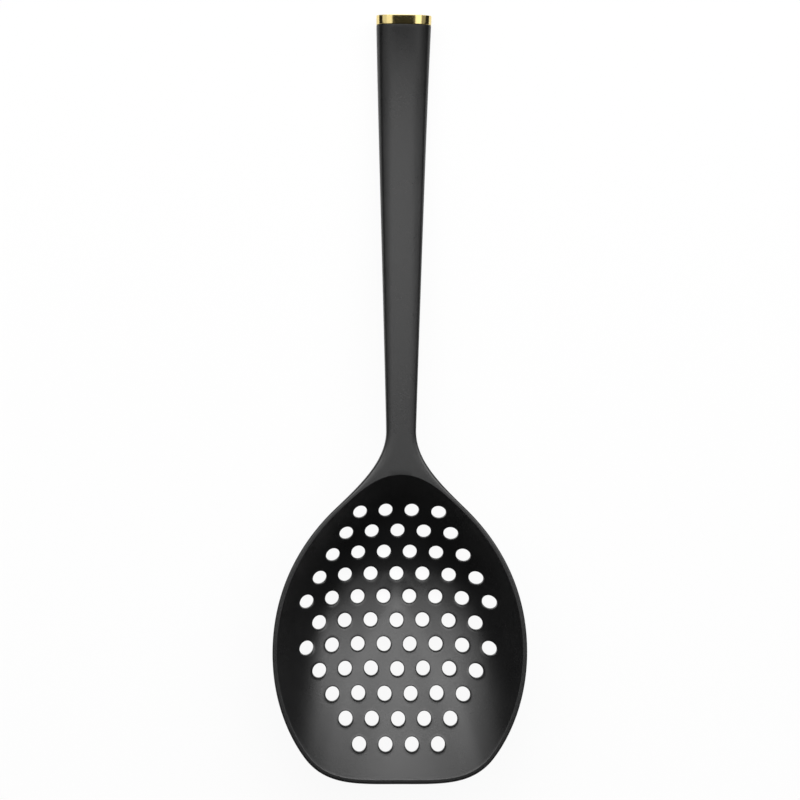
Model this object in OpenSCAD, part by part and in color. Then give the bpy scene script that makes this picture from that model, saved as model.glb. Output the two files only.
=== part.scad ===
// Scoop strainer lying on its back: perforated moulded scoop, hollow tapered handle, plug and metal end cap.
// The sizes below are set in the tool frame: x across, y from the bowl to the butt, z up from the rim,
// with y = 0 where the bowl is widest. The last step lays the tool down on z = 0.

/* [Bowl] */
// Width of the bowl over its rim
bowl_width = 115.8; // [100:0.2:130]
// From the widest place forward to the front lip
bowl_front = 59.6; // [52:0.2:68]
// From the widest place back to the bowl's rear inner edge
bowl_rear = 80.5; // [74:0.5:88]
// Depth of the bowl below its rim
bowl_depth = 30; // [22:0.5:38]
// Deepest point, behind the widest place
pit_offset = 31.5; // [24:0.5:38]
// Wall under the bowl
wall = 2.2; // [1.8:0.1:3]
// Width of the rim seen from above
rim_width = 2; // [1.6:0.1:2.6]
// Height of the rim's outer edge
rim_edge = 1.6; // [1.2:0.1:2.4]

/* [Drain holes] */
// Diameter of a drain hole
hole_diameter = 6.4; // [5:0.1:8]
// Distance between neighbouring holes
hole_pitch = 12; // [11:0.1:12.6]
// Lean of the holes from square to the rim
hole_lean = 8.7; // [5:0.1:12]
// Middle row, behind the widest place at rim height
hole_offset = 9.2; // [5:0.1:13]

/* [Neck and handle] */
// From the bowl's rear inner edge to the joint with the handle
neck_run = 20; // [17:0.5:26]
// Width at the joint
neck_width = 13.6; // [12.4:0.1:16]
// Thickness at the joint
neck_thickness = 8.6; // [8.2:0.1:11]
// From the joint to the end of the cap
handle_length = 188.5; // [172:0.5:210]
// Width at the butt
butt_width = 25.2; // [22:0.2:28]
// Thickness at the butt
butt_thickness = 14; // [12.6:0.2:17]
// Rise of the top face towards the butt
butt_rise = 7; // [2:0.5:9]
// Wall around the hollow of the handle
handle_wall = 2.4; // [2:0.1:3]
// Depth of the hollow from the handle's end
hollow_depth = 96; // [60:1:100]

/* [Tang] */
// Length of the tang inside the handle
tang_length = 66; // [48:0.5:68]
// Width of the tang
tang_width = 8.4; // [7.2:0.1:8.8]
// Thickness of the tang
tang_thickness = 4; // [3.2:0.1:4.4]
// Diameter of a lock window through the tang
window_diameter = 3.6; // [2.8:0.1:4.2]
// From the joint to the first lock window
window_first = 16; // [12:0.5:20]
// Distance between the lock windows
window_spacing = 30; // [14:0.5:34]

/* [End cap] */
// Length of the metal band
cap_band = 4.1; // [3.4:0.1:6]
// Thickness of the metal
cap_wall = 0.8; // [0.6:0.05:1]
// Rounding of the cap's end edge
cap_round = 0.6; // [0.4:0.1:1.4]
// Length of the plug inside the handle
plug_length = 14; // [8:0.5:20]
// Wall of the plug
plug_wall = 2; // [1.4:0.1:2.4]
// Floor between the plug's core and its head
plug_floor = 1.5; // [1:0.1:3]

/* [Fits] */
// Gap all round the tang in its socket
tang_gap = 0.1; // [0.05:0.01:0.2]
// Gap around a lock peg in its window
peg_gap = 0.1; // [0.05:0.01:0.2]
// Gap around the plug in the hollow
plug_gap = 0.15; // [0.08:0.01:0.25]
// Gap between the cap and the plug's head
cap_gap = 0.08; // [0.04:0.01:0.15]
// Shadow line between the cap and the handle
seam_gap = 0.3; // [0.15:0.05:0.4]

/* [Hidden] */
$fn = 48;
nylon = [0.06, 0.06, 0.065];
gold = [0.83, 0.7, 0.38];

// main stations along the tool
half = bowl_width / 2;
pit = [0, pit_offset];
joint_y = bowl_rear + neck_run;
butt_y = joint_y + handle_length;
seat_y = butt_y - cap_band - seam_gap;

// plan of the rim: shoulder and front corner with their directions, and how far the curves reach from them
shoulder = [0.485 * bowl_width / 2, 0.795 * bowl_rear];
shoulder_angle = 46.4;
corner = [0.746 * bowl_width / 2, -0.799 * bowl_front];
corner_angle = 36.8;
reach_rear = [0.208, 0.195];
reach_side = [0.345, 0.375];
reach_corner = [0.376, 0.194];
reach_lip = [0.277, 0.338];
reach_growth = 40;
flare_reach = [12.8, 17.4];

// form of the bowl along a line from its deepest point to the rim: ramp in front, steep sides and rear
front_power = 1.4;
corner_power = 1.87;
side_power = 3.2;
rear_power = 2.1;
front_fade_power = 14;
side_fade_power = 3.6;
rear_fade_power = 2.4;

// sections: half height of the rounded top at the joint and the butt, and the squareness of top and underside
top_joint = 3;
top_butt = 6;
joint_power = 4.5;
butt_power = 2.6;
under_power = 2.4;
rim_power = 2;
blend_power = 4;
least_width = 0.01;
rim_round = 0.9;
side_land = 0.2;
inner_round = 0.45;
inner_drop = 0.14;
width_power = 1.06;
thickness_power = 1.2;
rise_power = 6;
tang_lift = 0.2;
tang_root = neck_run / 4;
tang_round = tang_thickness / 4;

// how finely the skins are drawn
joint_steps = 5;
flare_steps = 13;
rim_steps = 9;
plan_steps = 14;
hollow_steps = 16;
handle_steps = 24;
section_points = 44;
cap_steps = 4;

// hole rows from the rear to the front
row_counts = [4, 5, 6, 7, 8, 7, 8, 7, 6, 5, 4];
row_step = hole_pitch * sqrt(3) / 2;

// curves
function bezier(a, b, c, d, t) =
    pow(1 - t, 3) * a + 3 * pow(1 - t, 2) * t * b + 3 * (1 - t) * t * t * c + pow(t, 3) * d;
function curve(a, b, c, d, n) = [for (i = [1:n]) bezier(a, b, c, d, i / n)];
function heading(angle) = [sin(angle), -cos(angle)];
function side_of(angle) = [cos(angle), sin(angle)];
function mix(a, b, t) = a + (b - a) * t;
function smooth(t) = let (c = min(max(t, 0), 1)) c * c * (3 - 2 * c);

// half plan of the rim, out by o from the bowl's inner edge: from the rear over the side to the front lip
function egg(o, n) =
    let (
        s = shoulder + o * side_of(shoulder_angle),
        k = corner + (o - rim_width) * side_of(-corner_angle),
        w = half - rim_width + o,
        f = bowl_front - rim_width + o,
        grow = 1 + (o - rim_width) / reach_growth
    )
    concat(
        [[0, bowl_rear + o]],
        curve(
            [0, bowl_rear + o],
            [reach_rear[0] * w, bowl_rear + o],
            s - reach_rear[1] * w * heading(shoulder_angle),
            s,
            n
        ),
        egg_front(s, k, w, f, grow, n)
    );
function egg_front(s, k, w, f, grow, n) =
    concat(
        curve(
            s,
            s + grow * reach_side[0] * half * heading(shoulder_angle),
            [w, grow * reach_side[1] * bowl_rear],
            [w, 0],
            n
        ),
        curve(
            [w, 0],
            [w, -grow * reach_corner[0] * bowl_front],
            k - grow * reach_corner[1] * half * heading(-corner_angle),
            k,
            n
        ),
        curve(
            k,
            k + grow * reach_lip[0] * half * heading(-corner_angle),
            [grow * reach_lip[1] * half, -f],
            [0, -f],
            n
        )
    );

// half outline of the moulding: across the joint, down the flare and round the rim
rim_shoulder = shoulder + rim_width * side_of(shoulder_angle);
outline = concat(
    [for (i = [0:joint_steps]) [neck_width / 2 * sin(90 * i / joint_steps), joint_y]],
    curve(
        [neck_width / 2, joint_y],
        [neck_width / 2, joint_y - flare_reach[0]],
        rim_shoulder - flare_reach[1] * heading(shoulder_angle),
        rim_shoulder,
        flare_steps
    ),
    egg_front(rim_shoulder, corner, half, bowl_front, 1, rim_steps)
);

// the same plans as seen from the deepest point: angle from the rear, and distance
function seen(points) = [for (p = points) [atan2(p[0], p[1] - pit[1]), norm(p - pit)]];
rays = seen(outline);
last = len(outline) - 1;
inner_seen = seen(egg(0, plan_steps));
outer_seen = seen(egg(rim_width, plan_steps));
function inner_radius(angle) = lookup(angle, inner_seen);
function outer_radius(angle) = lookup(angle, outer_seen);
function at(angle, r) = [r * sin(angle), pit[1] + r * cos(angle)];

// outward normals of the outline, and its half width and steepness at a station
normals = [
    for (i = [0:last])
        let (t = outline[min(i + 1, last)] - outline[max(i - 1, 0)])
        i == 0 ? [0, 1] : i == last ? [0, -1] : [-t[1], t[0]] / norm(t)
];
width_at = [for (i = [last:-1:joint_steps]) [outline[i][1], outline[i][0]]];
steep_at = [for (i = [last:-1:joint_steps + 1]) [outline[i][1], abs(normals[i][0])]];
function half_width(y) = lookup(y, width_at);

// from the handle's section at the joint to the plain rim at the shoulder
function rim_share(y) = smooth((joint_y - y) / (joint_y - rim_shoulder[1]));
function edge_round(y) = mix(neck_width / 2, rim_round, rim_share(y));
function edge_drop(y) = mix(top_joint, rim_round, rim_share(y));
function edge_power(y) = mix(joint_power, rim_power, rim_share(y));
function edge_height(y) = edge_drop(y) + mix(side_land, rim_edge - rim_round, rim_share(y));
function rounded(q, square) = pow(max(1 - pow(min(max(q, 0), 1), square), 0), 1 / square);

// heights of the bowl's inside, of the top of rim and flare, and of the underside
function power(angle) =
    cos(angle) > 0
    ? mix(side_power, rear_power, pow(cos(angle), rear_fade_power))
    : corner_power
        + (side_power - corner_power) * pow(max(sin(angle), 0), side_fade_power)
        + (front_power - corner_power) * pow(-cos(angle), front_fade_power);
function inside_z(v, angle) = -bowl_depth * (1 - pow(v, power(angle)));
function top_z(p, q) =
    let (
        y = p[1],
        near = (half_width(y) - abs(p[0])) * lookup(y, steep_at),
        k = y > rim_shoulder[1] ? 1 - near / edge_round(y) : q
    )
    -edge_drop(y) * (1 - rounded(k, edge_power(y)));
neck_fade_end = 0.55 * bowl_rear;
function neck_part(p) =
    (neck_thickness - top_joint - side_land)
    * (1 - smooth((joint_y - p[1]) / (joint_y - neck_fade_end)))
    * rounded(abs(p[0]) / max(half_width(p[1]), least_width), under_power);
function bowl_part(angle, r) =
    (bowl_depth + wall - rim_edge) * max(1 - pow(r / outer_radius(angle), power(angle)), 0);
function under_z(angle, r) =
    let (p = at(angle, r))
    -edge_height(p[1])
    - pow(pow(bowl_part(angle, r), blend_power) + pow(neck_part(p), blend_power), 1 / blend_power);

// rings of the moulding from the deepest point inside, over the rim, to the deepest point outside
inside_steps = [0.14, 0.28, 0.41, 0.53, 0.63, 0.72, 0.795, 0.855, 0.905, 0.945, 0.975];
edge_steps = [0, 0.45, 0.75, 0.93, 1];
least_square = 0.12;
land_share = 0.92;
under_steps = [0, 0.012, 0.035, 0.065, 0.1, 0.145, 0.205, 0.28, 0.37, 0.47, 0.59, 0.72, 0.86];
function raised(p, z) = [p[0], p[1], z];
function whole(h) = concat(h, [for (i = [len(h) - 2:-1:1]) [-h[i][0], h[i][1], h[i][2]]]);
function inside_ring(v) =
    whole([for (a = rays) raised(at(a[0], v * inner_radius(a[0])), inside_z(v, a[0]))]);
function lip_ring(o, z) = whole([for (a = rays) raised(at(a[0], inner_radius(a[0]) + o), z)]);
function edge_ring(q) =
    whole([
        for (i = [0:last])
            let (
                a = rays[i],
                square = max(normals[i] * [sin(a[0]), cos(a[0])], least_square),
                room = a[1] - inner_radius(a[0]) - inner_round,
                back = min(edge_round(outline[i][1]) / square, land_share * room),
                p = q == 1 ? outline[i] : at(a[0], a[1] - (1 - q) * back)
            )
            raised(p, top_z(p, q))
    ]);
function under_ring(f) =
    whole([for (i = [0:last])
        let (a = rays[i], r = a[1] * (1 - f))
        raised(f == 0 ? outline[i] : at(a[0], r), under_z(a[0], r))]);
head_rings = concat(
    [for (v = inside_steps) inside_ring(v)],
    [lip_ring(0, -inner_drop), lip_ring(inner_round, 0)],
    [for (q = edge_steps) edge_ring(q)],
    [for (f = under_steps) under_ring(f)]
);
head_under = [0, pit[1], -bowl_depth - wall];

// sections of the handle
function along(y) = (y - joint_y) / handle_length;
function top_line(y) = butt_rise * pow(along(y), rise_power);
function thickness(y) = mix(neck_thickness, butt_thickness, pow(along(y), thickness_power));
function top_height(y) = mix(top_joint, top_butt, along(y));
function section(y, inset) =
    let (
        t = along(y),
        w = mix(neck_width / 2, butt_width / 2, pow(t, width_power)) - inset,
        up = top_height(y) - inset,
        down = thickness(y) - top_height(y) - side_land - inset,
        mid = top_line(y) - top_height(y),
        square = mix(joint_power, butt_power, t)
    )
    [for (i = [0:section_points - 1])
        let (
            a = 360 * (i + 0.5) / section_points,
            e = 2 / (sin(a) > 0 ? square : under_power),
            x = w * sign(cos(a)) * pow(abs(cos(a)), e),
            z = sin(a) > 0 ? mid + up * pow(sin(a), e) : mid - side_land - down * pow(-sin(a), e)
        )
        [x, y, z]];
function middle(y) = [0, y, top_line(y) - thickness(y) / 2];

// skin over rings that share a count, closed by a point at each end
module skin(rings, from, to) {
    n = len(rings[0]);
    m = len(rings);
    points = concat([from], [for (r = rings) each r], [to]);
    polyhedron(
        points,
        concat(
            [for (i = [0:n - 1]) [0, 1 + i, 1 + (i + 1) % n]],
            [for (k = [0:m - 2], i = [0:n - 1])
                let (a = 1 + k * n, j = (i + 1) % n)
                each [[a + i, a + n + i, a + n + j], [a + i, a + n + j, a + j]]],
            [for (i = [0:n - 1]) [1 + m * n, 1 + (m - 1) * n + (i + 1) % n, 1 + (m - 1) * n + i]]
        ),
        convexity = 10
    );
}

// rings of the handle, the plug and the cap
hollow_y = seat_y - hollow_depth;
handle_rings = concat(
    [for (i = [0:hollow_steps]) section(mix(hollow_y, seat_y, i / hollow_steps), handle_wall)],
    [for (i = [0:handle_steps]) section(mix(seat_y, joint_y, i / handle_steps), 0)]
);
head_inset = cap_wall + cap_gap;
body_inset = handle_wall + plug_gap;
core_inset = body_inset + plug_wall;
cap_floor = butt_y - cap_wall;
plug_end = seat_y - plug_length;
core_end = seat_y - plug_floor;
plug_rings = [
    section(cap_floor, head_inset),
    section(seat_y, head_inset),
    section(seat_y, body_inset),
    section(mix(seat_y, plug_end, 0.5), body_inset),
    section(plug_end, body_inset),
    section(plug_end, core_inset),
    section(mix(plug_end, core_end, 0.5), core_inset),
    section(core_end, core_inset)
];
function cap_outer(a) = section(butt_y - cap_round * (1 - sin(a)), cap_round * (1 - cos(a)));
cap_rings = concat(
    [for (i = [cap_steps:-1:0]) cap_outer(90 * i / cap_steps)],
    [
        section(seat_y + seam_gap, 0),
        section(seat_y + seam_gap, cap_wall),
        section(cap_floor, cap_wall)
    ]
);

// lying down: tipped until the underside of the handle and of the bowl are level, then set on z = 0
stations = [for (i = [1:handle_steps]) mix(joint_y, butt_y - cap_round, i / handle_steps)];
lie = min([for (y = stations) atan((bowl_depth + wall + top_line(y) - thickness(y)) / (y - pit[1]))]);
function laid(p) = [p[1] * cos(lie) + p[2] * sin(lie), p[2] * cos(lie) - p[1] * sin(lie)];
laid_rings = concat(head_rings, handle_rings, cap_rings);
laid_points = [for (r = laid_rings, p = concat([head_under], r)) laid(p)];
laid_y = [for (p = laid_points) p[0]];
laid_z = [for (p = laid_points) p[1]];
module lay() {
    translate([0, -(min(laid_y) + max(laid_y)) / 2, -min(laid_z)])
        rotate([-lie, 0, 0])
            children();
}

// one drain hole after another, in staggered rows about the bowl's middle line
module drain_holes() {
    middle_row = (len(row_counts) - 1) / 2;
    reach = bowl_depth + wall + hole_pitch;
    above = bowl_front * sin(hole_lean) + rim_edge;
    translate([0, hole_offset, 0])
        rotate([hole_lean, 0, 0])
            for (r = [0:len(row_counts) - 1], i = [0:row_counts[r] - 1])
                translate([(i - (row_counts[r] - 1) / 2) * hole_pitch, (middle_row - r) * row_step, -reach])
                    cylinder(d = hole_diameter, h = reach + above);
}

// rounded bar from the joint into the handle, wider all round by gap
tang_z = tang_lift - neck_thickness / 2;
module tang_bar(from, to, gap) {
    w = tang_width / 2 + gap;
    t = tang_thickness / 2 + gap;
    r = tang_round + gap;
    translate([0, to, tang_z])
        rotate([90, 0, 0])
            linear_extrude(to - from) {
                square([2 * w - 2 * r, 2 * t], center = true);
                square([2 * w, 2 * t - 2 * r], center = true);
                for (x = [r - w, w - r], z = [r - t, t - r])
                    translate([x, z])
                        circle(r);
            }
}
module lock_posts(d) {
    for (y = [window_first, window_first + window_spacing])
        translate([0, joint_y + y, tang_z - tang_thickness])
            cylinder(d = d, h = 2 * tang_thickness);
}

module scoop_head() {
    color(nylon)
        lay() {
            difference() {
                skin(head_rings, [0, pit[1], -bowl_depth], head_under);
                drain_holes();
            }
            difference() {
                tang_bar(joint_y - tang_root, joint_y + tang_length, 0);
                lock_posts(window_diameter);
            }
        }
}

module handle_shell() {
    color(nylon)
        lay()
            difference() {
                skin(handle_rings, middle(hollow_y), middle(joint_y));
                difference() {
                    tang_bar(joint_y - tang_gap, joint_y + tang_length + tang_gap, tang_gap);
                    lock_posts(window_diameter - 2 * peg_gap);
                }
            }
}

module cap_plug() {
    color(nylon)
        lay()
            skin(plug_rings, middle(cap_floor), middle(core_end));
}

module end_cap() {
    color(gold)
        lay()
            skin(cap_rings, middle(butt_y), middle(cap_floor));
}

scoop_head();
handle_shell();
cap_plug();
end_cap();
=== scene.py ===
"""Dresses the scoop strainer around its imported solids.

Lengths are in metres. The shapes are worked out in the tool frame, with x across, y from the bowl to the
butt, z up from the rim and y = 0 where the bowl is widest, and are then laid down as the solids are.
"""

from math import cos, pi, radians, sin, sqrt

import bmesh
import bpy
import numpy as np
from bpy.props import FloatProperty, FloatVectorProperty, IntProperty, PointerProperty
from bpy.types import Operator, Panel, PropertyGroup
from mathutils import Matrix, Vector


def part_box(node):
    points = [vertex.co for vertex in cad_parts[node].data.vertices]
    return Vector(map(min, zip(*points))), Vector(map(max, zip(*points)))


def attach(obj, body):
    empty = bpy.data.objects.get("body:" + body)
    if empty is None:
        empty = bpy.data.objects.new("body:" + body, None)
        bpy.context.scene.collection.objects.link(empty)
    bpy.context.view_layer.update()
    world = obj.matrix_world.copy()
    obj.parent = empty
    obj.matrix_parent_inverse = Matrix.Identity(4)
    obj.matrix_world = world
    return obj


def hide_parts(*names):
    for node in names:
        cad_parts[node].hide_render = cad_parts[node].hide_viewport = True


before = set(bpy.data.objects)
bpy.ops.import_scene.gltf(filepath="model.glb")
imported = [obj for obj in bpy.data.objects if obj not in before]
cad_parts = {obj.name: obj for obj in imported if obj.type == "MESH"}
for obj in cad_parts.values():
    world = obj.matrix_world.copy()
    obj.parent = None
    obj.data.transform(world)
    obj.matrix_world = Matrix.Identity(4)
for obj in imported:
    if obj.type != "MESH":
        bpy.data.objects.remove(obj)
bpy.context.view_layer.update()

bl_info = {
    "name": "Scoop strainer",
    "version": (1, 0, 0),
    "blender": (4, 5, 0),
    "location": "3D View > Sidebar > Strainer",
    "description": "Makes a perforated nylon scoop with a tapered handle and a gold-tone end cap",
    "category": "Add Mesh",
}

BODY = "root"

# Plan of the rim: shoulder and front corner as shares of half width and length, and how far curves reach
SHOULDER = (0.485, 0.795)
SHOULDER_ANGLE = 46.4
CORNER = (0.746, -0.799)
CORNER_ANGLE = 36.8
REACH_REAR = (0.208, 0.195)
REACH_SIDE = (0.345, 0.375)
REACH_CORNER = (0.376, 0.194)
REACH_LIP = (0.277, 0.338)
REACH_GROWTH = 0.040
FLARE_REACH = (0.0128, 0.0174)

# Form of the bowl: a ramp in front, steep sides and rear, and alike all round near its deepest point
FRONT_POWER = 1.4
CORNER_POWER = 1.87
SIDE_POWER = 3.2
REAR_POWER = 2.1
FRONT_FADE = 14
SIDE_FADE = 3.6
REAR_FADE = 2.4
PIT_CALM = 0.16
BLEND_POWER = 4
NECK_FADE = 0.55

# Sections: height of the rounded top, squareness of top and underside, and how they change to the butt
TOP_JOINT = 0.003
TOP_BUTT = 0.006
CIRCLE_POWER = 2
JOINT_POWER = 4.5
BUTT_POWER = 2.6
UNDER_POWER = 2.4
SIDE_LAND = 0.0002
LEAST_WIDTH = 1e-5
WIDTH_POWER = 1.06
THICKNESS_POWER = 1.2
RISE_POWER = 6

# Edges: run-out below the lip, rounding at the seams, and limits of the rim's rounding
LIP_BACK = 0.00015
END_ROUND = 0.00015
LEAST_SQUARE = 0.12
LAND_SHARE = 0.92
EDGE_POWER = 3

# Finishes: sizes of the patterns, the tones that they run between, and how much they change the gloss
NOISE_RANGE = (0.3, 0.7)
NYLON_GRAIN, NYLON_GRAIN_GLOSS = 0.0008, 0.04
NYLON_CLOUD, NYLON_CLOUD_GLOSS = 0.018, 0.015
NYLON_TONES = (0.82, 1.18)
GOLD_MARKS, GOLD_MARKS_GLOSS = 0.0002, 0.03
GOLD_STRETCH = (0.12, 1.0, 0.12)
GOLD_CLOUD = 0.004
GOLD_TONES = (0.94, 1.05)
FLOOR_CLOUD = 0.4
FLOOR_TONES = (0.98, 1.0)
WHITE = (1, 1, 1, 1)

# Sockets of a colour mix, which share their names with those of its other kinds
MIX_DARK, MIX_PALE, MIX_COLOUR = 6, 7, 2

# Softboxes that face down: name, place, size across and along, and how bright each looks
LAMP_HEIGHT = 1.62
SOFTBOXES = (
    ("softbox_rear", (0.0, 1.35), (2.70, 1.20), 5.1),
    ("softbox_rear_low", (0.0, 0.60), (2.70, 0.30), 1.6),
    ("softbox_over", (0.0, 0.285), (0.90, 0.33), 2.6),
    ("softbox_far_left", (-2.15, 1.15), (1.50, 0.90), 3.1),
    ("softbox_far_right", (2.15, 1.15), (1.50, 0.90), 5.8),
    ("softbox_left", (-0.65, -0.08), (0.58, 0.50), 1.1),
    ("softbox_left_edge", (-1.57, -0.08), (1.26, 0.50), 0.8),
    ("softbox_right", (0.77, -0.08), (0.58, 0.50), 1.5),
    ("softbox_right_edge", (1.63, -0.08), (1.14, 0.50), 0.3),
)

# Floor and camera
FLOOR_RADIUS = 6.0
FLOOR_SIDES = 96
SENSOR_WIDTH = 36.0
CLIP_START, CLIP_END = 0.05, 50.0

# Six-sided cells of the drain plate: half the angle of a side, rows apart in pitches, and gaps to weld
CELL_HALF = pi / 6
ROWS_APART = sqrt(3) / 2
CELL_WELD = 1e-5

# Rings of the scoop round its hole field: shares of the way to the rim, and how many follow
INSIDE_MARGIN = (0.12, 0.26, 0.42)
INSIDE_START = 0.3
INSIDE_RINGS, LIP_RINGS, LAND_RINGS = 9, 6, 4
UNDER_MARGIN = (0.08, 0.18, 0.3)
UNDER_START = 0.12
UNDER_RINGS = 34
UNDER_CROWDING = 1.6

# How finely the pieces are worked out and drawn, which edges stay sharp, and gaps to weld
CURVE_POINTS = 300
HOLE_POINTS = 36
HOLE_STEPS = 40
WALL_RINGS, ROUND_RINGS, PLATE_RINGS = 1, 4, 3
JOINT_POINTS, FLARE_POINTS, RIM_POINTS = 24, 44, 124
EDGE_POINTS = 14
HANDLE_STATIONS = 120
LIE_STATIONS = 24
HOLLOW_STATIONS = 12
ROUND_STEPS = 10
SHARP_ANGLE = radians(38)
WELD = 1e-6


def bezier(a, b, c, d):
    """Points along a cubic curve, without its first one."""
    t = np.linspace(0, 1, CURVE_POINTS + 1)[1:, None]
    a, b, c, d = (np.asarray(p, float) for p in (a, b, c, d))
    return (1 - t) ** 3 * a + 3 * (1 - t) ** 2 * t * b + 3 * (1 - t) * t**2 * c + t**3 * d


def heading(angle):
    """Direction in the plan that leads to the front, turned outwards by an angle in degrees."""
    return np.array([sin(radians(angle)), -cos(radians(angle))])


def side_of(angle):
    """Direction square to that heading, outwards."""
    return np.array([cos(radians(angle)), sin(radians(angle))])


def mix(a, b, t):
    return a + (b - a) * t


def smooth(t):
    """Soft step from 0 to 1."""
    c = np.clip(t, 0, 1)
    return c * c * (3 - 2 * c)


def rounded(q, square):
    """Height of a superellipse at the share q of its half width."""
    return np.maximum(1 - np.clip(q, 0, 1) ** square, 0) ** (1 / square)


def even(points, count):
    """The same curve with count steps of equal length."""
    length = np.concatenate([[0], np.cumsum(np.linalg.norm(np.diff(points, axis=0), axis=1))])
    at = np.linspace(0, length[-1], count + 1)
    return np.stack([np.interp(at, length, points[:, i]) for i in range(points.shape[1])], 1)


def quarter(width, height, square, count):
    """Shares of the half width, from the middle to the side, at even steps along a rounded top."""
    a = np.linspace(pi / 2, 0, CURVE_POINTS)
    e = 2 / square
    points = np.stack([width * np.cos(a).clip(0) ** e, height * np.sin(a).clip(0) ** e], 1)
    return even(points, count)[:, 0] / width


class Form:
    """Curves, heights and sections of the tool, in the tool frame."""

    def __init__(self, strainer):
        bowl, grip, cap = strainer.bowl, strainer.grip, strainer.cap
        self.bowl, self.holes, self.grip, self.cap = bowl, strainer.holes, grip, cap
        self.half = bowl.width / 2
        self.joint = bowl.rear + grip.neck_run
        self.butt = self.joint + grip.length
        self.seat = self.butt - cap.band - cap.seam
        self.shoulder = np.array([SHOULDER[0] * self.half, SHOULDER[1] * bowl.rear])
        self.corner = np.array([CORNER[0] * self.half, CORNER[1] * bowl.front])
        self.rim_shoulder = self.shoulder + bowl.rim_width * side_of(SHOULDER_ANGLE)
        self.inner_seen = self.seen(self.egg(0))
        self.outer_seen = self.seen(self.egg(bowl.rim_width))
        self.draw_outline()
        self.settle()

    def egg(self, out):
        """Half plan of the rim, moved out from the bowl's inner edge, from the rear to the front lip."""
        bowl = self.bowl
        past = out - bowl.rim_width
        shoulder = self.shoulder + out * side_of(SHOULDER_ANGLE)
        corner = self.corner + past * side_of(-CORNER_ANGLE)
        half = self.half + past
        rear = np.array([0, bowl.rear + out])
        before = shoulder - REACH_REAR[1] * half * heading(SHOULDER_ANGLE)
        back = bezier(rear, [REACH_REAR[0] * half, rear[1]], before, shoulder)
        front = self.egg_front(shoulder, corner, half, bowl.front + past, 1 + past / REACH_GROWTH)
        return np.concatenate([[rear], back, front])

    def egg_front(self, shoulder, corner, half, front, grow):
        """The rim from the shoulder past the widest place and the front corner to the front lip."""
        bowl = self.bowl
        side = [half, 0]
        turn = heading(-CORNER_ANGLE)
        after_shoulder = shoulder + grow * REACH_SIDE[0] * self.half * heading(SHOULDER_ANGLE)
        before_corner = corner - grow * REACH_CORNER[1] * self.half * turn
        after_corner = corner + grow * REACH_LIP[0] * self.half * turn
        to_side = bezier(shoulder, after_shoulder, [half, grow * REACH_SIDE[1] * bowl.rear], side)
        to_corner = bezier(side, [half, -grow * REACH_CORNER[0] * bowl.front], before_corner, corner)
        to_lip = bezier(corner, after_corner, [grow * REACH_LIP[1] * self.half, -front], [0, -front])
        return np.concatenate([to_side, to_corner, to_lip])

    def draw_outline(self):
        """Half outline of the moulding: across the joint, down the flare and round the rim."""
        half_neck = self.grip.neck_width / 2
        start = np.array([half_neck, self.joint])
        end = self.rim_shoulder
        leave = [half_neck, self.joint - FLARE_REACH[0]]
        flare = bezier(start, leave, end - FLARE_REACH[1] * heading(SHOULDER_ANGLE), end)
        rim = self.egg_front(end, self.corner, self.half, self.bowl.front, 1)
        self.joint_shares = quarter(half_neck, TOP_JOINT, JOINT_POWER, JOINT_POINTS)
        across = np.stack([half_neck * self.joint_shares, np.full(JOINT_POINTS + 1, self.joint)], 1)
        flare_even = even(np.concatenate([[start], flare]), FLARE_POINTS)
        rim_even = even(np.concatenate([[end], rim]), RIM_POINTS)
        self.outline = np.concatenate([across, flare_even[1:], rim_even[1:]])
        edge = np.concatenate([[start], flare, rim])[::-1]
        slope = np.gradient(edge, axis=0)
        self.edge_y, self.edge_x = edge[:, 1], edge[:, 0]
        self.edge_steep = np.abs(slope[:, 1]) / np.linalg.norm(slope, axis=1)
        step = np.zeros_like(self.outline)
        step[1:-1] = self.outline[2:] - self.outline[:-2]
        step[0], step[-1] = (1, 0), (-1, 0)
        normal = np.stack([-step[:, 1], step[:, 0]], 1)
        self.normals = normal / np.linalg.norm(normal, axis=1)[:, None]
        self.rays = self.seen(self.outline)

    def seen(self, points):
        """Angle from the rear and distance, as seen from the deepest point."""
        x, y = points[:, 0], points[:, 1] - self.bowl.pit
        return np.stack([np.arctan2(x, y), np.hypot(x, y)], 1)

    def at(self, angle, r):
        """Points of the plan from the same angles and distances."""
        return np.stack([r * np.sin(angle), self.bowl.pit + r * np.cos(angle)], 1)

    def inner_radius(self, angle):
        """Distance from the deepest point to the rim's inner edge."""
        return np.interp(np.abs(angle), self.inner_seen[:, 0], self.inner_seen[:, 1])

    def outer_radius(self, angle):
        """Distance from the deepest point to the rim's outer edge."""
        return np.interp(np.abs(angle), self.outer_seen[:, 0], self.outer_seen[:, 1])

    def half_width(self, y):
        """Half width of the outline at a station."""
        return np.interp(y, self.edge_y, self.edge_x)

    def rim_share(self, y):
        """From the handle's section at the joint, 0, to the plain rim at the shoulder, 1."""
        return smooth((self.joint - y) / (self.joint - self.rim_shoulder[1]))

    def edge_round(self, y):
        """How far in from the outline the top's rounding begins."""
        return mix(self.grip.neck_width / 2, self.bowl.rim_round, self.rim_share(y))

    def edge_drop(self, y):
        """How far the rounding falls to the outline."""
        return mix(TOP_JOINT, self.bowl.rim_round, self.rim_share(y))

    def edge_height(self, y):
        """Where the underside meets the outline, below the rim."""
        land = mix(SIDE_LAND, self.bowl.rim_edge - self.bowl.rim_round, self.rim_share(y))
        return self.edge_drop(y) + land

    def power(self, angle):
        """How steeply the bowl rises near the rim, in each direction from the deepest point."""
        back, side = np.cos(angle), np.abs(np.sin(angle))
        rear = mix(SIDE_POWER, REAR_POWER, np.maximum(back, 0) ** REAR_FADE)
        front = mix(CORNER_POWER, SIDE_POWER, side**SIDE_FADE)
        front = front + (FRONT_POWER - CORNER_POWER) * np.maximum(-back, 0) ** FRONT_FADE
        return np.where(back > 0, rear, front)

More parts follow.
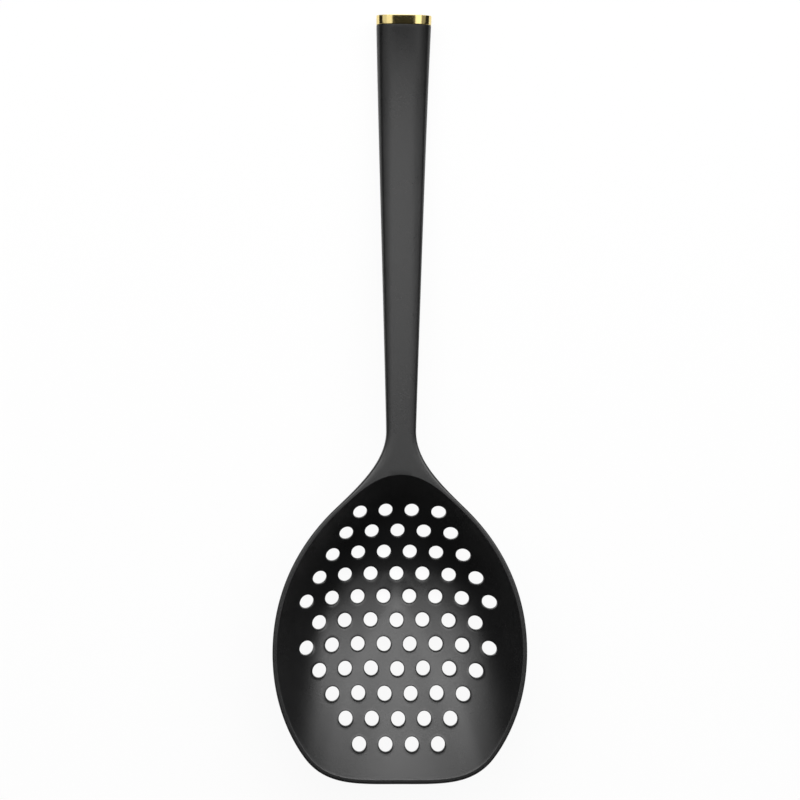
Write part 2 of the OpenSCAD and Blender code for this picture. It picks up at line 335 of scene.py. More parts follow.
    def inside(self, xy):
        """Height of the bowl's inside, alike all round near the deepest point."""
        angle, r = self.seen(xy).T
        share = r / self.inner_radius(angle)
        rise = mix(share**CORNER_POWER, share ** self.power(angle), smooth(share / PIT_CALM))
        return -self.bowl.depth * (1 - rise)

    def under(self, xy):
        """Height of the underside of bowl and neck."""
        angle, r = self.seen(xy).T
        x, y = np.abs(xy[:, 0]), xy[:, 1]
        bowl, grip = self.bowl, self.grip
        share = (r / self.outer_radius(angle)) ** self.power(angle)
        cup = (bowl.depth + bowl.wall - bowl.rim_edge) * np.maximum(1 - share, 0)
        fade = 1 - smooth((self.joint - y) / (self.joint - NECK_FADE * bowl.rear))
        round_under = rounded(x / np.maximum(self.half_width(y), LEAST_WIDTH), UNDER_POWER)
        neck = (grip.neck_thickness - TOP_JOINT - SIDE_LAND) * fade * round_under
        return -self.edge_height(y) - (cup**BLEND_POWER + neck**BLEND_POWER) ** (1 / BLEND_POWER)

    def top(self, xy, q):
        """Height of the top of rim and flare; q is the share of the way over the rim's rounding."""
        x, y = np.abs(xy[:, 0]), xy[:, 1]
        near = (self.half_width(y) - x) * np.interp(y, self.edge_y, self.edge_steep)
        k = np.where(y > self.rim_shoulder[1], 1 - near / self.edge_round(y), q)
        square = mix(JOINT_POWER, CIRCLE_POWER, self.rim_share(y))
        return -self.edge_drop(y) * (1 - rounded(k, square))

    def top_line(self, y):
        """Height of the handle's top at a station."""
        return self.grip.butt_rise * ((y - self.joint) / self.grip.length) ** RISE_POWER

    def thickness(self, y):
        """Thickness of the handle at a station."""
        t = (y - self.joint) / self.grip.length
        return mix(self.grip.neck_thickness, self.grip.butt_thickness, t**THICKNESS_POWER)

    def section(self, y, inset=0):
        """Ring of points round the handle at a station: over the top, then back along the underside."""
        grip = self.grip
        t = (y - self.joint) / grip.length
        half = mix(grip.neck_width / 2, grip.butt_width / 2, t**WIDTH_POWER) - inset
        rise = mix(TOP_JOINT, TOP_BUTT, t)
        side = self.top_line(y) - rise
        drop = self.thickness(y) - rise - SIDE_LAND - inset
        q = np.concatenate([-self.joint_shares[:0:-1], self.joint_shares])
        over = side + (rise - inset) * rounded(np.abs(q), mix(JOINT_POWER, BUTT_POWER, t))
        below = side - SIDE_LAND - drop * rounded(np.abs(q), UNDER_POWER)
        station = np.full(len(q), y)
        top = np.stack([half * q, station, over], 1)
        low = np.stack([half * q, station, below], 1)
        return np.concatenate([top, low[::-1]])

    def middle(self, y):
        """The point in the middle of the section."""
        return np.array([[0, y, self.top_line(y) - self.thickness(y) / 2]])

    def settle(self):
        """Lie of the tool on its back, with the solids' own front edge as its place along y."""
        bowl = self.bowl
        y = np.linspace(self.joint, self.butt - self.cap.rounding, LIE_STATIONS + 1)[1:]
        low = self.top_line(y) - self.thickness(y)
        self.lie = np.arctan((bowl.depth + bowl.wall + low) / (y - bowl.pit)).min()
        along = np.linspace(-bowl.front, bowl.rear, CURVE_POINTS)
        keel = np.stack([np.zeros(CURVE_POINTS), along], 1)
        low = (self.under(keel) * cos(self.lie) - along * sin(self.lie)).min()
        front = -bowl.front * cos(self.lie) - bowl.rim_edge * sin(self.lie)
        self.shift_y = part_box("scoop_head")[0].y - front
        self.shift_z = -low

    def lay(self, points):
        """Points of the tool frame, laid down on the table."""
        x, y, z = np.asarray(points).T
        c, s = cos(self.lie), sin(self.lie)
        return np.stack([x, y * c + z * s + self.shift_y, z * c - y * s + self.shift_z], 1)

    def along_hole(self, x, y, height):
        """Where lines through flat points x, y, along the drain holes, meet a height field of the plan."""
        c, s = cos(self.holes.lean), sin(self.holes.lean)
        z = np.zeros_like(x)
        for _ in range(HOLE_STEPS):
            plan = np.stack([x, self.holes.offset + y * c - z * s], 1)
            z = z + (height(plan) - y * s - z * c) / c
        return np.stack([x, self.holes.offset + y * c - z * s, y * s + z * c], 1)


class NodeMaker:
    """Adds nodes to a tree, with values or links for their inputs."""

    def __init__(self, tree):
        self.tree = tree

    def add(self, kind, inputs=(), **settings):
        """A new node's first output; inputs go by number or by name."""
        node = self.tree.nodes.new(kind)
        for key, value in settings.items():
            setattr(node, key, value)
        pairs = inputs.items() if isinstance(inputs, dict) else enumerate(inputs)
        for key, value in pairs:
            if isinstance(value, bpy.types.NodeSocket):
                self.tree.links.new(value, node.inputs[key])
            else:
                node.inputs[key].default_value = value
        return node.outputs[0]

    def math(self, operation, *values):
        return self.add("ShaderNodeMath", values, operation=operation)

    def ranged(self, value, low, high, to_low, to_high):
        return self.add("ShaderNodeMapRange", (value, low, high, to_low, to_high))


def add_object(name, data):
    """A new object in the scene, at the origin."""
    thing = bpy.data.objects.new(name, data)
    bpy.context.scene.collection.objects.link(thing)
    return thing


def hole_cell(make, diameter, pitch, wall, edge):
    """One six-sided cell: rings from the inner face over the hole's edge and wall to the outer face."""
    rings = WALL_RINGS + ROUND_RINGS + PLATE_RINGS
    grid = make.add(
        "GeometryNodeMeshGrid",
        {"Size X": 1.0, "Size Y": 1.0, "Vertices X": HOLE_POINTS + 1, "Vertices Y": 2 * rings + 1},
    )
    split = make.add("ShaderNodeSeparateXYZ", (grid.node.outputs["UV Map"],))
    across, down = split.node.outputs[0], split.node.outputs[1]
    angle = make.math("MULTIPLY", across, 2 * pi)
    side = make.math("MULTIPLY_ADD", down, 2.0, -1.0)
    ring = make.math("MULTIPLY", make.math("ABSOLUTE", side), float(rings))
    turn = make.ranged(ring, WALL_RINGS, WALL_RINGS + ROUND_RINGS, 0.0, pi / 2)
    share = make.ranged(ring, WALL_RINGS + ROUND_RINGS, rings, 0.0, 1.0)
    mouth = make.math(
        "MULTIPLY_ADD",
        edge,
        make.math("SUBTRACT", 1.0, make.math("COSINE", turn)),
        make.math("MULTIPLY", diameter, 0.5),
    )
    corner = make.math("COSINE", make.math("WRAP", angle, CELL_HALF, -CELL_HALF))
    border = make.math("DIVIDE", make.math("MULTIPLY", pitch, 0.5), corner)
    radius = make.math("MULTIPLY_ADD", make.math("SUBTRACT", border, mouth), share, mouth)
    half_wall = make.math("MULTIPLY", wall, 0.5)
    inner_wall = make.math("SUBTRACT", 1.0, make.math("MINIMUM", ring, 1.0))
    depth = make.math(
        "MULTIPLY_ADD",
        inner_wall,
        make.math("SUBTRACT", half_wall, edge),
        make.math("MULTIPLY", edge, make.math("SUBTRACT", 1.0, make.math("SINE", turn))),
    )
    lift = make.math("MULTIPLY", make.math("SUBTRACT", half_wall, depth), make.math("SIGN", side))
    place = make.add(
        "ShaderNodeCombineXYZ",
        (
            make.math("MULTIPLY", radius, make.math("COSINE", angle)),
            make.math("MULTIPLY", radius, make.math("SINE", angle)),
            make.math("MULTIPLY", make.math("ADD", lift, half_wall), -1.0),
        ),
    )
    return make.add("GeometryNodeSetPosition", {"Geometry": grid, "Position": place})


def hole_points(make, pitch, rows, longest):
    """Staggered rows: one hole fewer in each row away from the two longest, and in the row between them."""
    index = make.add("GeometryNodeInputIndex")
    row = make.math("FLOOR", make.math("DIVIDE", index, longest))
    column = make.math("FLOORED_MODULO", index, longest)
    middle_row = make.math("MULTIPLY", make.math("SUBTRACT", rows, 1.0), 0.5)
    away = make.math("SUBTRACT", middle_row, row)
    far = make.math("ABSOLUTE", away)
    middle_less = make.math("MULTIPLY", make.math("LESS_THAN", far, 0.5), 2.0)
    most = make.math("SUBTRACT", make.math("ADD", longest, 1.0), far)
    count = make.math("SUBTRACT", most, middle_less)
    middle_column = make.math("MULTIPLY", make.math("SUBTRACT", count, 1.0), 0.5)
    place = make.add(
        "ShaderNodeCombineXYZ",
        (
            make.math("MULTIPLY", make.math("SUBTRACT", column, middle_column), pitch),
            make.math("MULTIPLY", make.math("MULTIPLY", away, pitch), ROWS_APART),
            0.0,
        ),
    )
    every = make.math("MULTIPLY", rows, longest)
    points = make.add("GeometryNodePoints", {"Count": every, "Position": place})
    spare = make.math("GREATER_THAN", column, make.math("SUBTRACT", count, 0.5))
    return make.add(
        "GeometryNodeDeleteGeometry", {"Geometry": points, "Selection": spare}, domain="POINT"
    )


def drain_plate_tree(material):
    """Flat plate of six-sided cells, one round each drain hole, with rounded hole edges on both faces."""
    tree = bpy.data.node_groups.new("drain_plate", "GeometryNodeTree")
    for name in ("Hole Diameter", "Pitch", "Wall", "Edge Rounding"):
        tree.interface.new_socket(name, in_out="INPUT", socket_type="NodeSocketFloat")
    for name in ("Rows", "Longest Row"):
        tree.interface.new_socket(name, in_out="INPUT", socket_type="NodeSocketInt")
    tree.interface.new_socket("Plate", in_out="OUTPUT", socket_type="NodeSocketGeometry")
    make = NodeMaker(tree)
    given = tree.nodes.new("NodeGroupInput").outputs
    pitch = given["Pitch"]
    cell = hole_cell(make, given["Hole Diameter"], pitch, given["Wall"], given["Edge Rounding"])
    points = hole_points(make, pitch, given["Rows"], given["Longest Row"])
    cells = make.add("GeometryNodeInstanceOnPoints", {"Points": points, "Instance": cell})
    real = make.add("GeometryNodeRealizeInstances", {"Geometry": cells})
    joined = make.add("GeometryNodeMergeByDistance", {"Geometry": real, "Distance": CELL_WELD})
    done = make.add("GeometryNodeSetMaterial", {"Geometry": joined, "Material": material})
    tree.links.new(done, tree.nodes.new("NodeGroupOutput").inputs["Plate"])
    return tree


def drain_plate(form, material):
    """The flat plate as points and faces."""
    tree = drain_plate_tree(material)
    base = add_object("drain_plate", bpy.data.meshes.new("drain_plate"))
    modifier = base.modifiers.new("drain_plate", "NODES")
    modifier.node_group = tree
    holes = form.holes
    values = {
        "Hole Diameter": holes.diameter,
        "Pitch": holes.pitch,
        "Wall": form.bowl.wall,
        "Edge Rounding": holes.rounding,
        "Rows": holes.rows,
        "Longest Row": holes.longest_row,
    }
    for socket in tree.interface.items_tree:
        if socket.item_type == "SOCKET" and socket.in_out == "INPUT":
            modifier[socket.identifier] = values[socket.name]
    bpy.context.view_layer.update()
    mesh = bpy.data.meshes.new_from_object(base.evaluated_get(bpy.context.evaluated_depsgraph_get()))
    points = np.array([v.co for v in mesh.vertices], float)
    faces = [list(p.vertices) for p in mesh.polygons]
    base.modifiers.remove(modifier)
    bpy.data.objects.remove(base)
    bpy.data.meshes.remove(mesh)
    return points, faces


def open_loops(faces):
    """Loops of edges that only one face has, each as point numbers in order."""
    after = {}
    pairs = {(a, b) for f in faces for a, b in zip(f, f[1:] + f[:1])}
    for a, b in pairs:
        if (b, a) not in pairs:
            after[a] = b
    loops = []
    while after:
        first, at = next(iter(after.items()))
        loop = [first]
        del after[first]
        while at != first:
            loop.append(at)
            at = after.pop(at)
        loops.append(np.array(loop))
    return loops


class Skin:
    """Points and faces that are put together ring by ring."""

    def __init__(self):
        self.points, self.faces, self.count = [], [], 0

    def put(self, points):
        """Adds points and gives their numbers."""
        first = self.count
        self.points.append(np.asarray(points, float))
        self.count += len(points)
        return np.arange(first, self.count)

    def band(self, a, b):
        """Four-sided faces between two closed rings of one count."""
        a2, b2 = np.roll(a, -1), np.roll(b, -1)
        self.faces += np.stack([a, a2, b2, b], 1).tolist()

    def loft(self, rings):
        """Bands from each ring to the next; the rings' point numbers."""
        numbers = [self.put(r) for r in rings]
        for a, b in zip(numbers, numbers[1:]):
            self.band(a, b)
        return numbers

    def stitch(self, a, b, angle_a, angle_b):
        """Three-sided faces between two closed rings of any count, in step by their angles."""
        na, nb, i, j = len(a), len(b), 0, 0
        turn_a = np.append(angle_a, angle_a[0] + 2 * pi)
        turn_b = np.append(angle_b, angle_b[0] + 2 * pi)
        while i < na or j < nb:
            if j >= nb or (i < na and turn_a[i + 1] <= turn_b[j + 1]):
                self.faces.append([a[i], a[(i + 1) % na], b[j % nb]])
                i += 1
            else:
                self.faces.append([a[i % na], b[(j + 1) % nb], b[j]])
                j += 1

    def close(self, ring, middle):
        """Fan from a ring to a point in its middle."""
        centre = self.put(middle)[0]
        self.faces += [[a, b, centre] for a, b in zip(ring, np.roll(ring, -1))]

    def piece(self, name, form, material):
        """A closed piece of the tool, laid down, with smooth faces and outward normals."""
        mesh = bpy.data.meshes.new(name)
        mesh.from_pydata(form.lay(np.concatenate(self.points)).tolist(), [], self.faces)
        shape = bmesh.new()
        shape.from_mesh(mesh)
        bmesh.ops.remove_doubles(shape, verts=shape.verts, dist=WELD)
        bmesh.ops.dissolve_degenerate(shape, edges=shape.edges, dist=WELD)
        bmesh.ops.recalc_face_normals(shape, faces=shape.faces)
        if any(len(e.link_faces) != 2 for e in shape.edges):
            raise RuntimeError(f"{name} isn't closed")
        for edge in shape.edges:
            edge.smooth = edge.calc_face_angle() < SHARP_ANGLE
        for face in shape.faces:
            face.smooth = True
        shape.to_mesh(mesh)
        shape.free()
        mesh.materials.append(material)
        return add_object(name, mesh)


def stand_for(piece, node):
    """Puts a piece in the place of a node of the solids."""
    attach(piece, BODY)
    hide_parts(node)


def turned(loop, points, pit):
    """A loop that starts at the rear and runs over +x to the front."""
    xy = points[loop]
    if np.sum(xy[:, 0] * np.roll(xy[:, 1], -1) - np.roll(xy[:, 0], -1) * xy[:, 1]) > 0:
        loop = loop[::-1]
    x, y = points[loop, 0], points[loop, 1] - pit
    start = np.argmin(np.where(y > 0, np.abs(np.arctan2(x, y)), np.inf))
    return np.roll(loop, -start)


class RingWork:
    """Rings on rays from the deepest point through every point of the outline."""

    def __init__(self, form):
        self.form = form
        self.angle, self.reach = form.rays[:, 0], form.rays[:, 1]

    def whole(self, half):
        """A half ring from the rear to the front, with its mirror image back to the rear."""
        mirrored = half[-2:0:-1] * np.array([-1, 1, 1])
        return np.concatenate([half, mirrored])

    def ring(self, r, height):
        """A ring at distance r on each ray; height is a number or a height field of the plan."""
        xy = self.form.at(self.angle, r)
        z = height(xy) if callable(height) else np.broadcast_to(height, len(xy))
        return self.whole(np.column_stack([xy, z]))

    def turns(self):
        """Angles of a whole ring's points."""
        return np.concatenate([self.angle, 2 * pi - self.angle[-2:0:-1]])

    def from_field(self, xy, angle, share, limit):
        """Distances a share of the way from a ring round the drain holes out to a limit."""
        wrapped = np.concatenate([angle - 2 * pi, angle, angle + 2 * pi])
        near = np.tile(np.hypot(xy[:, 0], xy[:, 1] - self.form.bowl.pit), 3)
        order = np.argsort(wrapped)
        at = np.interp(self.angle, wrapped[order], near[order])
        return mix(at, limit, share)


def spread_to(xy, centre, limit):
    """For each point, the point of a half curve in the same direction from a centre on the y axis."""
    limit_x, limit_y = limit[:, 0], limit[:, 1] - centre
    direction = np.arctan2(xy[:, 0], xy[:, 1] - centre)
    r = np.interp(np.abs(direction), np.arctan2(limit_x, limit_y), np.hypot(limit_x, limit_y))
    return np.stack([r * np.sin(direction), centre + r * np.cos(direction)], 1)


def field_margin(form, skin, field, loop, limit, height, shares):
    """Rings from the hole field part of the way to a limit; the last one, its plan and its angles."""
    last = turned(loop, field, form.bowl.pit)
    edge = field[last, :2]
    target = spread_to(edge, form.holes.offset, limit)
    for share in shares:
        xy = mix(edge, target, share)
        ring = skin.put(np.column_stack([xy, height(xy)]))
        skin.band(last, ring)
        last = ring
    return last, xy, np.unwrap(form.seen(xy)[:, 0])


def rim_rings(form, work, wall_end):
    """Rings from the end of the bowl's wall over the lip, the rim and its outer edge to the outline."""
    lip = form.inner_radius(work.angle)
    land = lip + form.bowl.lip_round
    low = form.inside(form.at(work.angle, wall_end))
    rings = []
    for t in np.linspace(0, 1, LIP_RINGS + 1)[1:]:
        r = (1 - t) ** 2 * wall_end + 2 * t * (1 - t) * lip + t * t * land
        rings.append(work.ring(r, (1 - t) ** 2 * low))
    ray = np.stack([np.sin(work.angle), np.cos(work.angle)], 1)
    square = np.maximum(np.sum(form.normals * ray, 1), LEAST_SQUARE)
    back = np.minimum(form.edge_round(form.outline[:, 1]) / square, LAND_SHARE * (work.reach - land))
    for t in np.linspace(0, 1, LAND_RINGS + 2)[1:-1]:
        rings.append(work.ring(mix(land, work.reach - back, t), lambda p: form.top(p, 0)))
    for q in quarter(1, 1, EDGE_POWER, EDGE_POINTS):
        rings.append(work.ring(work.reach - (1 - q) * back, lambda p, q=q: form.top(p, q)))
    return rings


def make_scoop_head(form, material):
    """The moulded scoop: perforated field, margin, lip, rim, flare, neck and underside."""
    flat, faces = drain_plate(form, material)
    x, y, depth = flat[:, 0], flat[:, 1], -flat[:, 2] / form.bowl.wall
    inside = form.along_hole(x, y, form.inside)
    outside = form.along_hole(x, y, form.under)
    field = mix(inside, outside, depth[:, None])
    upper, lower = sorted(open_loops(faces), key=lambda loop: depth[loop].mean())
    skin = Skin()
    skin.put(field)
    skin.faces += faces
    work = RingWork(form)

    # Inside: from the field to the lip and over the rim to the outline
    last, xy, angle = field_margin(form, skin, field, upper, form.egg(0), form.inside, INSIDE_MARGIN)
    wall_end = form.inner_radius(work.angle) - LIP_BACK
    wall_start = work.from_field(xy, angle, INSIDE_START, wall_end)
    shares = np.linspace(0, 1, INSIDE_RINGS)
    wall = [work.ring(mix(wall_start, wall_end, t), form.inside) for t in shares]
    numbers = skin.loft(wall + rim_rings(form, work, wall_end))
    skin.stitch(last, numbers[0], angle, work.turns())
    rim_edge = numbers[-1]

    # Underside: from the outline in to the field
    last, xy, angle = field_margin(form, skin, field, lower, form.outline, form.under, UNDER_MARGIN)
    under_end = work.from_field(xy, angle, UNDER_START, work.reach)
    shares = np.linspace(0, 1, UNDER_RINGS) ** UNDER_CROWDING
    numbers = skin.loft([work.ring(mix(work.reach, under_end, t), form.under) for t in shares])
    skin.band(rim_edge, numbers[0])
    skin.stitch(last, numbers[-1], angle, work.turns())
    return skin.piece("scoop_head_moulding", form, material)


def rounded_end(form, y, size, way):
    """Rings over a rounded edge at station y; way is 1 towards the butt and -1 towards the bowl."""
    turns = np.linspace(0, pi / 2, ROUND_STEPS + 1)
    return [form.section(y - way * size * (1 - sin(a)), size * (1 - cos(a))) for a in turns]


def make_handle(form, material):
    """The tapered hollow handle, open at the butt for the plug."""
    grip = form.grip
    skin = Skin()
    hollow = form.seat - grip.hollow
    outer = [form.section(y) for y in np.linspace(form.joint, form.seat - END_ROUND, HANDLE_STATIONS)]
    edge = rounded_end(form, form.seat, END_ROUND, 1)[1:]
    inner = [form.section(y, grip.shell) for y in np.linspace(form.seat, hollow, HOLLOW_STATIONS)]
    numbers = skin.loft(outer + edge + inner)
    skin.close(numbers[0][::-1], form.middle(form.joint))
    skin.close(numbers[-1], form.middle(hollow))
    return skin.piece("handle_grip", form, material)


def make_end_cap(form, material):
    """The metal cup over the plug's head."""
    cap = form.cap
    skin = Skin()
    floor = form.butt - cap.metal
    start = form.seat + cap.seam
    edge = rounded_end(form, start, END_ROUND, -1)[::-1]
    end = rounded_end(form, form.butt, cap.rounding, 1)
    inner = [form.section(start, cap.metal), form.section(floor, cap.metal)]
    numbers = skin.loft([inner[0]] + edge + end)
    cup = skin.loft(inner)
    skin.close(numbers[-1], form.middle(form.butt))
    skin.close(cup[-1], form.middle(floor))
    return skin.piece("end_cap_band", form, material)


def shader_material(name):
    """An empty material and the maker of its nodes."""
    material = bpy.data.materials.new(name)
    material.use_nodes = True
    material.node_tree.nodes.clear()
    return material, NodeMaker(material.node_tree)


def finish_material(make, shader):
    output = make.tree.nodes.new("ShaderNodeOutputMaterial")
    make.tree.links.new(shader, output.inputs["Surface"])


def noise(make, coords, size, detail=2.0, roughness=0.5):
    """Noise with grains of about a size in metres."""
    inputs = {"Vector": coords, "Scale": 1 / size, "Detail": detail, "Roughness": roughness}
    return make.add("ShaderNodeTexNoise", inputs)


def spread(make, pattern, low, high):
    """Noise stretched from the range that it mostly has to another one."""
    return make.ranged(pattern, *NOISE_RANGE, low, high)


def two_tones(make, share, colour, tones):
    """A colour that runs from a darker to a paler tone of itself."""
    blend = make.add("ShaderNodeMix", {"Factor": share}, data_type="RGBA").node
    for socket, tone in zip((MIX_DARK, MIX_PALE), tones):
        blend.inputs[socket].default_value = [min(c * tone, 1) for c in colour] + [1.0]
    return blend.outputs[MIX_COLOUR]


def nylon(name, colour, roughness):
    """Satin black moulded nylon: fine spark-eroded grain and faint clouding."""
    material, make = shader_material(name)
    coords = make.add("ShaderNodeTexCoord").node.outputs["Object"]
    grain = noise(make, coords, NYLON_GRAIN, detail=4.0, roughness=0.65)
    cloud = noise(make, coords, NYLON_CLOUD, detail=4.0)
    rough = make.math(
        "ADD",
        spread(make, grain, roughness - NYLON_GRAIN_GLOSS, roughness + NYLON_GRAIN_GLOSS),
        spread(make, cloud, -NYLON_CLOUD_GLOSS, NYLON_CLOUD_GLOSS),
    )
    bump = make.add("ShaderNodeBump", {"Strength": 0.6, "Distance": 0.00004, "Height": grain})
    base = two_tones(make, spread(make, cloud, 0.0, 1.0), colour, NYLON_TONES)
    shader = make.add(
        "ShaderNodeBsdfPrincipled",
        {"Base Color": base, "Roughness": rough, "Normal": bump, "IOR": 1.5},
    )
    finish_material(make, shader)
    return material


def gold(name, colour, roughness):
    """Polished gold-tone metal with faint polishing marks."""
    material, make = shader_material(name)
    coords = make.add("ShaderNodeTexCoord").node.outputs["Object"]
    across = make.add("ShaderNodeMapping", {"Vector": coords, "Scale": GOLD_STRETCH})
    marks = noise(make, across, GOLD_MARKS, detail=3.0)
    cloud = noise(make, coords, GOLD_CLOUD, detail=3.0)
    rough = spread(make, marks, roughness - GOLD_MARKS_GLOSS, roughness + GOLD_MARKS_GLOSS)
    bump = make.add("ShaderNodeBump", {"Strength": 0.05, "Distance": 0.00001, "Height": marks})
    base = two_tones(make, cloud, colour, GOLD_TONES)
    shader = make.add(
        "ShaderNodeBsdfPrincipled",
        {"Base Color": base, "Metallic": 1.0, "Roughness": rough, "Normal": bump},
    )
    finish_material(make, shader)
    return material


def backdrop(name, colour, shine, mirrored):
    """Pale matte floor with a share of plain white, one for the camera and one for reflections."""
    material, make = shader_material(name)
    light = make.add("ShaderNodeLightPath").node.outputs
    bent = make.math("MAXIMUM", light["Is Glossy Ray"], light["Is Transmission Ray"])
    straight = make.math("MULTIPLY", light["Is Camera Ray"], shine)
    share = make.math("MAXIMUM", straight, make.math("MULTIPLY", bent, mirrored))
    coords = make.add("ShaderNodeTexCoord").node.outputs["Object"]
    tint = two_tones(make, noise(make, coords, FLOOR_CLOUD), colour, FLOOR_TONES)
    matte = make.add("ShaderNodeBsdfDiffuse", {"Color": tint})
    glow = make.add("ShaderNodeEmission", {"Color": WHITE, "Strength": 1.0})
    shader = make.add("ShaderNodeMixShader", (share, matte, glow))
    finish_material(make, shader)
    material.cycles.emission_sampling = "NONE"
    return material


def lay_floor(finishes, stage):
    mesh = bpy.data.meshes.new("floor")
    shape = bmesh.new()
    bmesh.ops.create_circle(shape, cap_ends=True, segments=FLOOR_SIDES, radius=FLOOR_RADIUS)
    shape.to_mesh(mesh)
    shape.free()
    white = backdrop("floor_white", finishes.floor, stage.floor_shine, stage.floor_mirrored)
    mesh.materials.append(white)
    floor = add_object("floor", mesh)


def hang_lamp(name, place, size, level):
    """A softbox that faces down; level is how bright its face looks, with white at 1."""
    data = bpy.data.lights.new(name, "AREA")
    data.shape = "RECTANGLE"
    data.size, data.size_y = size
    data.energy = level * pi * size[0] * size[1]
    box = add_object(name, data)
    box.location = (*place, LAMP_HEIGHT)
    box.visible_camera = False


def light_room(scene, level):
    """Even white light from all sides."""
    world = bpy.data.worlds.new("room")
    world.use_nodes = True
    room = world.node_tree.nodes["Background"]
    room.inputs["Color"].default_value = WHITE
    room.inputs["Strength"].default_value = level
    scene.world = world


def place_camera(scene, stage):
    data = bpy.data.cameras.new("camera")
    data.sensor_width = SENSOR_WIDTH
    data.lens = stage.lens
    data.clip_start, data.clip_end = CLIP_START, CLIP_END
    camera = add_object("camera", data)
    camera.location = stage.camera_place
    camera.rotation_euler = stage.camera_turn
    scene.camera = camera


def length_property(name, description, default):
    return FloatProperty(name=name, description=description, default=default, unit="LENGTH")


def share_property(name, description, default):
    return FloatProperty(
        name=name, description=description, default=default, subtype="FACTOR", min=0, max=1
    )


def colour_property(name, description, default):
    return FloatVectorProperty(
        name=name, description=description, default=default, subtype="COLOR", min=0, max=1
    )


class BowlSizes(PropertyGroup):
    """Sizes of the bowl and its rim."""

    width: length_property("Width", "Over the rim", 0.1158)
    front: length_property("Front", "Widest place to front lip", 0.0596)
    rear: length_property("Rear", "Widest place to rear edge", 0.0805)
    depth: length_property("Depth", "Below the rim", 0.030)
    pit: length_property("Pit", "Deepest point behind the widest place", 0.0315)
    wall: length_property("Wall", "Under the bowl", 0.0022)
    rim_width: length_property("Rim width", "Seen from above", 0.002)
    rim_edge: length_property("Rim edge", "Height of the outer edge", 0.0016)
    rim_round: length_property("Rim rounding", "Of the outer edge", 0.0009)
    lip_round: length_property("Lip rounding", "Of the inner edge", 0.0002)


class HoleSizes(PropertyGroup):
    """Sizes and layout of the drain holes."""

    diameter: length_property("Diameter", "Of a hole", 0.0064)
    pitch: length_property("Pitch", "Between neighbours", 0.012)
    lean: FloatProperty(
        name="Lean", description="From square to the rim", default=radians(8.7), subtype="ANGLE"
    )
    offset: length_property("Offset", "Middle row behind the widest place", 0.0092)
    rounding: length_property("Edge rounding", "Of a hole's edges", 0.0005)
    rows: IntProperty(name="Rows", description="Number of rows", default=11)
    longest_row: IntProperty(name="Longest row", description="Holes in the longest rows", default=8)


class GripSizes(PropertyGroup):
    """Sizes of the neck and the handle."""

    neck_run: length_property("Neck run", "Rear edge to joint", 0.020)
    neck_width: length_property("Neck width", "At the joint", 0.0136)
    neck_thickness: length_property("Neck thickness", "At the joint", 0.0086)
    length: length_property("Length", "Joint to the cap's end", 0.1885)
    butt_width: length_property("Butt width", "At the butt", 0.0252)
    butt_thickness: length_property("Butt thickness", "At the butt", 0.014)
    butt_rise: length_property("Butt rise", "Of the top face", 0.007)
    shell: length_property("Shell", "Wall of the hollow", 0.0024)
    hollow: length_property("Hollow", "Depth from the end", 0.096)


class CapSizes(PropertyGroup):
    """Sizes of the end cap."""

    band: length_property("Band", "Length of the metal", 0.0041)
    metal: length_property("Metal", "Its thickness", 0.0008)
    rounding: length_property("Rounding", "Of the end edge", 0.00025)
    seam: length_property("Seam", "Shadow line to the handle", 0.0003)


class Finishes(PropertyGroup):
    """Colours and gloss."""

    nylon: colour_property("Nylon", "Scoop and handle", (0.007, 0.007, 0.0072))
    nylon_roughness: share_property("Nylon roughness", "Satin moulded face", 0.31)
    plug: colour_property("Plug", "Hidden plug", (0.02, 0.02, 0.02))
    gold: colour_property("Gold", "Metal end cap", (0.86, 0.69, 0.30))
    gold_roughness: share_property("Gold roughness", "Polished metal", 0.11)
    floor: colour_property("Floor", "Pale floor", (0.9, 0.9, 0.9))


class StageSettings(PropertyGroup):
    """Camera, lamps and floor."""

    camera_place: FloatVectorProperty(
        name="Camera",
        description="Where it stands",
        default=(-0.09743, 0.11577, 1.51288),
        subtype="TRANSLATION",
    )
    camera_turn: FloatVectorProperty(
        name="Camera turn",
        description="Its rotation",
        default=(radians(-4.4962), radians(-3.6637), radians(0.6667)),
        subtype="EULER",
    )
    lens: FloatProperty(
        name="Lens", description="Focal length in millimetres", default=148.35, unit="CAMERA"
    )
    light: FloatProperty(name="Light", description="How bright the softboxes are", default=1.0)
    room_light: FloatProperty(name="Room", description="How bright the room is", default=0.025)
    floor_shine: share_property("Floor white", "Share of plain white in the floor", 0.93)
    floor_mirrored: share_property("Floor mirrored", "The same share in reflections", 0.3)


class StrainerSettings(PropertyGroup):
    """All settings of the strainer."""

    bowl: PointerProperty(type=BowlSizes)
    holes: PointerProperty(type=HoleSizes)
    grip: PointerProperty(type=GripSizes)
    cap: PointerProperty(type=CapSizes)
    finishes: PointerProperty(type=Finishes)
    stage: PointerProperty(type=StageSettings)


class STRAINER_OT_scoop_head(Operator):
    """Makes the perforated scoop with its rim, flare and neck"""

    bl_idname = "strainer.scoop_head"
    bl_label = "Scoop head"

    def execute(self, context):
        settings = context.scene.strainer
        finishes = settings.finishes
        material = nylon("scoop_nylon", finishes.nylon, finishes.nylon_roughness)
        stand_for(make_scoop_head(Form(settings), material), "scoop_head")
        return {"FINISHED"}


class STRAINER_OT_handle(Operator):
    """Makes the tapered handle"""

    bl_idname = "strainer.handle"
    bl_label = "Handle"

    def execute(self, context):
        settings = context.scene.strainer
        finishes = settings.finishes
        material = nylon("handle_nylon", finishes.nylon, finishes.nylon_roughness)
        stand_for(make_handle(Form(settings), material), "handle_shell")
        return {"FINISHED"}


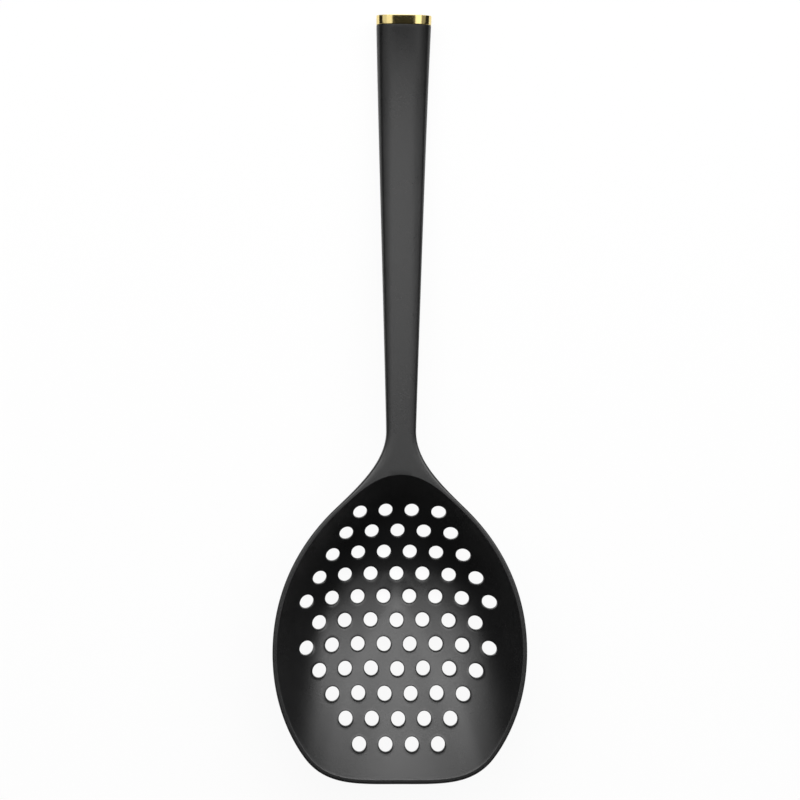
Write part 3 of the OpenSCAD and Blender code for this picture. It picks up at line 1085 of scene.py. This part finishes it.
class STRAINER_OT_end_cap(Operator):
    """Makes the gold-tone end cap"""

    bl_idname = "strainer.end_cap"
    bl_label = "End cap"

    def execute(self, context):
        settings = context.scene.strainer
        finishes = settings.finishes
        material = gold("cap_gold", finishes.gold, finishes.gold_roughness)
        stand_for(make_end_cap(Form(settings), material), "end_cap")
        return {"FINISHED"}


class STRAINER_OT_plug(Operator):
    """Gives the plug in the handle its finish"""

    bl_idname = "strainer.plug"
    bl_label = "Plug"

    def execute(self, context):
        finishes = context.scene.strainer.finishes
        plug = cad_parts["cap_plug"]
        plug.data.materials.clear()
        plug.data.materials.append(nylon("plug_nylon", finishes.plug, finishes.nylon_roughness))
        return {"FINISHED"}


class STRAINER_OT_stage(Operator):
    """Sets up the floor, the softboxes, the room and the camera"""

    bl_idname = "strainer.stage"
    bl_label = "Stage"

    def execute(self, context):
        scene = context.scene
        stage, finishes = scene.strainer.stage, scene.strainer.finishes
        lay_floor(finishes, stage)
        for name, place, size, level in SOFTBOXES:
            hang_lamp(name, place, size, level * stage.light)
        light_room(scene, stage.room_light)
        place_camera(scene, stage)
        scene.view_settings.view_transform = "Standard"
        return {"FINISHED"}


class STRAINER_PT_panel(Panel):
    """Sizes, finishes and steps of the strainer"""

    bl_label = "Scoop strainer"
    bl_idname = "STRAINER_PT_panel"
    bl_space_type = "VIEW_3D"
    bl_region_type = "UI"
    bl_category = "Strainer"

    def draw(self, context):
        settings = context.scene.strainer
        for group in GROUPS:
            box = self.layout.box()
            box.label(text=group.replace("_", " ").capitalize())
            values = getattr(settings, group)
            for name in values.__annotations__:
                box.prop(values, name)
        for step in STEPS:
            self.layout.operator(step.bl_idname)


GROUPS = ("bowl", "holes", "grip", "cap", "finishes", "stage")
STEPS = (
    STRAINER_OT_stage,
    STRAINER_OT_scoop_head,
    STRAINER_OT_handle,
    STRAINER_OT_plug,
    STRAINER_OT_end_cap,
)
CLASSES = (
    BowlSizes,
    HoleSizes,
    GripSizes,
    CapSizes,
    Finishes,
    StageSettings,
    StrainerSettings,
    *STEPS,
    STRAINER_PT_panel,
)


def register():
    for kind in CLASSES:
        bpy.utils.register_class(kind)
    bpy.types.Scene.strainer = PointerProperty(type=StrainerSettings)


def unregister():
    del bpy.types.Scene.strainer
    for kind in reversed(CLASSES):
        bpy.utils.unregister_class(kind)


def main():
    register()
    bpy.ops.strainer.stage()
    bpy.ops.strainer.scoop_head()
    bpy.ops.strainer.handle()
    bpy.ops.strainer.plug()
    bpy.ops.strainer.end_cap()


if __name__ == "__main__":
    main()
